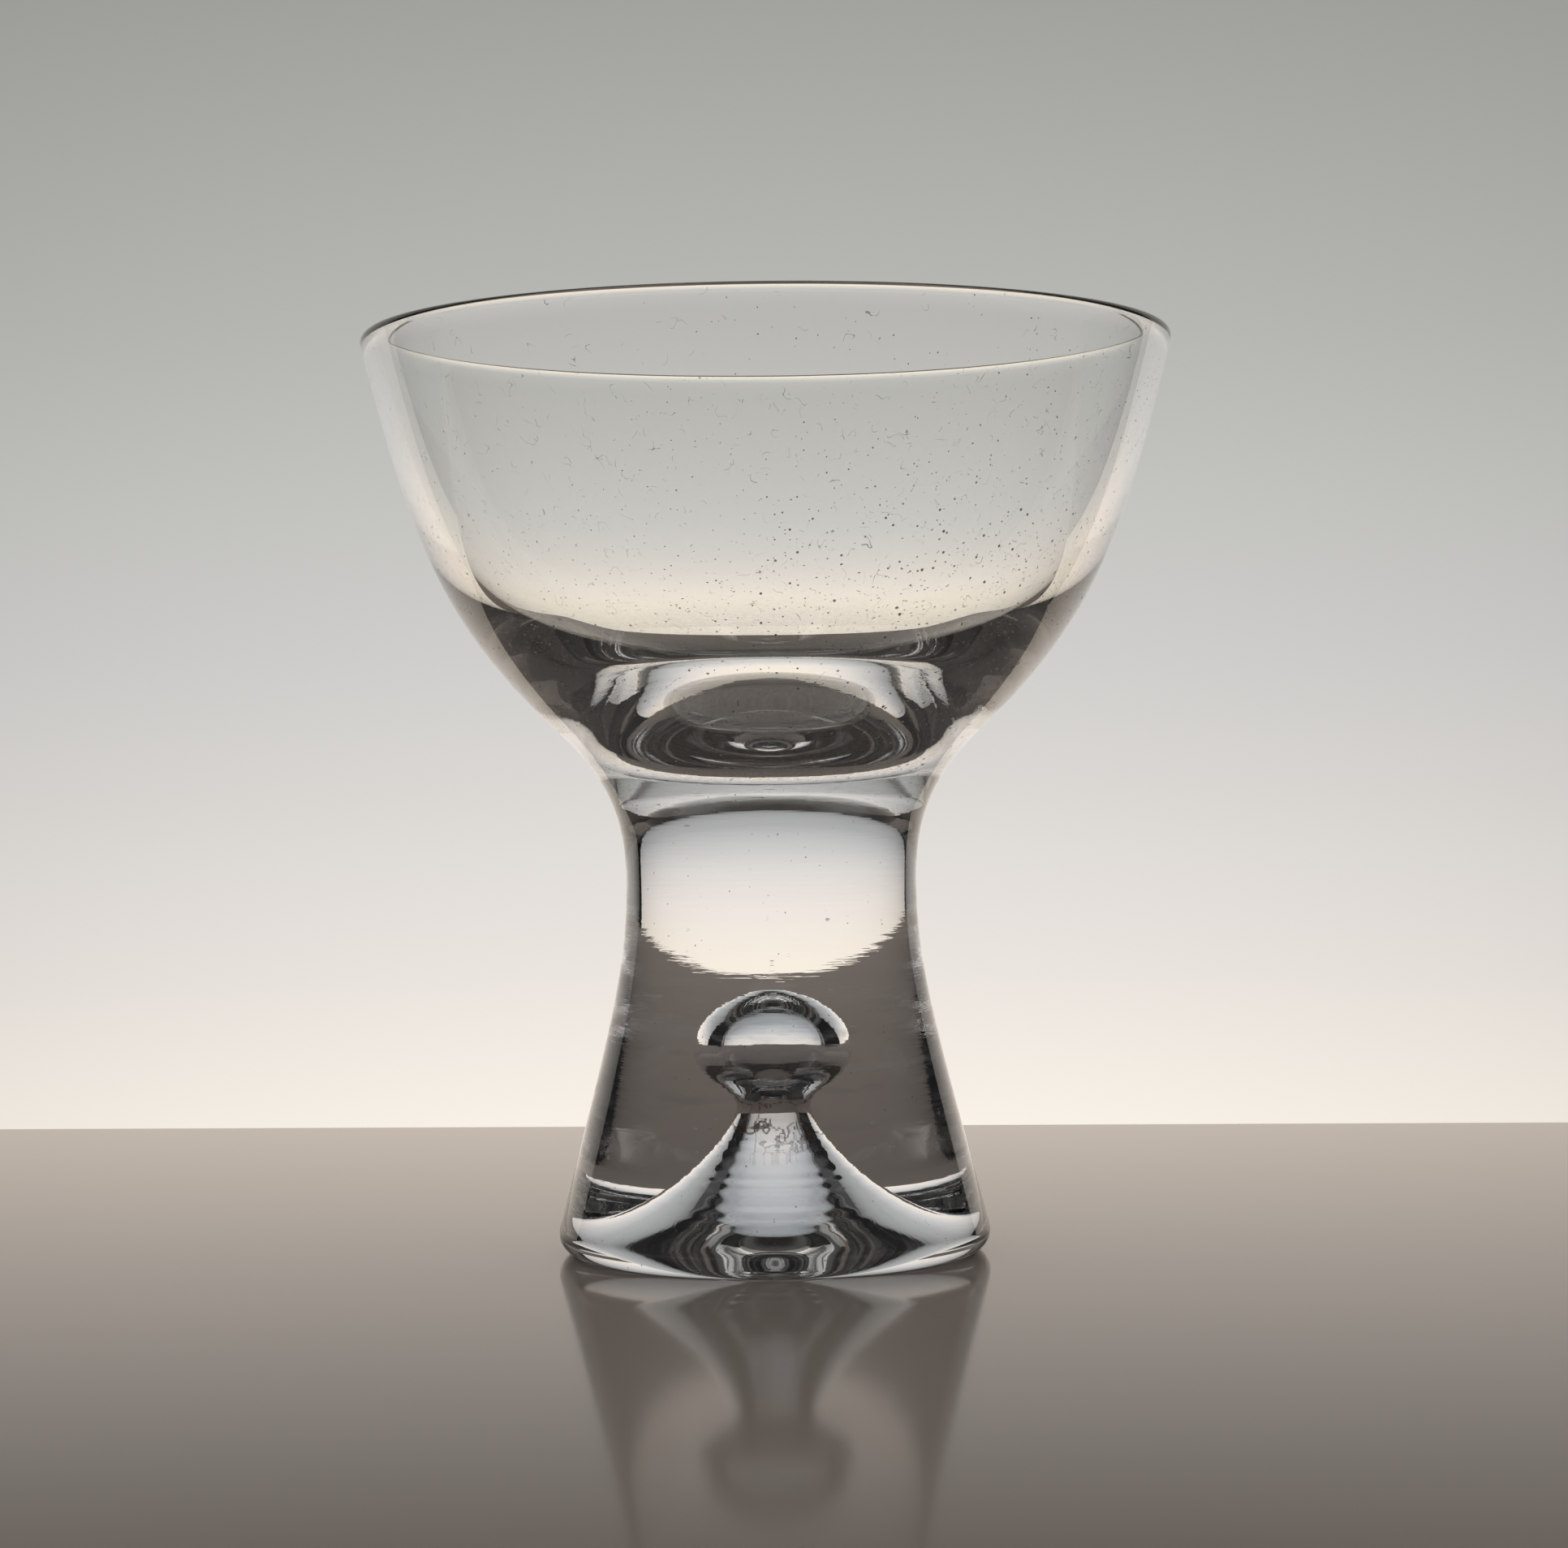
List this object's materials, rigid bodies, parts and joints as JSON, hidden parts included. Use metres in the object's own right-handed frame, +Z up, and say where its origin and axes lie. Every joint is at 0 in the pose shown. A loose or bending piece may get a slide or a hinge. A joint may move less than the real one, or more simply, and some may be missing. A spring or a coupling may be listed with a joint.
{
  "type": "cocktail glass",
  "caption": "Clear short-stemmed cocktail glass: open blown bowl fused to a solid waisted stem and foot with an air bubble that opens underneath.",
  "frame": {"origin": "centre of the foot, on the table", "axes": "+Z up along the glass's axis; X and Y are free, because the glass is round"},
  "size_m": [0.086, 0.086, 0.0975],
  "materials": {
    "clear_glass": "polished clear glass"
  },
  "bodies": {
    "root": {"bowl": "clear_glass", "stem": "clear_glass"}
  },
  "joints": []
}
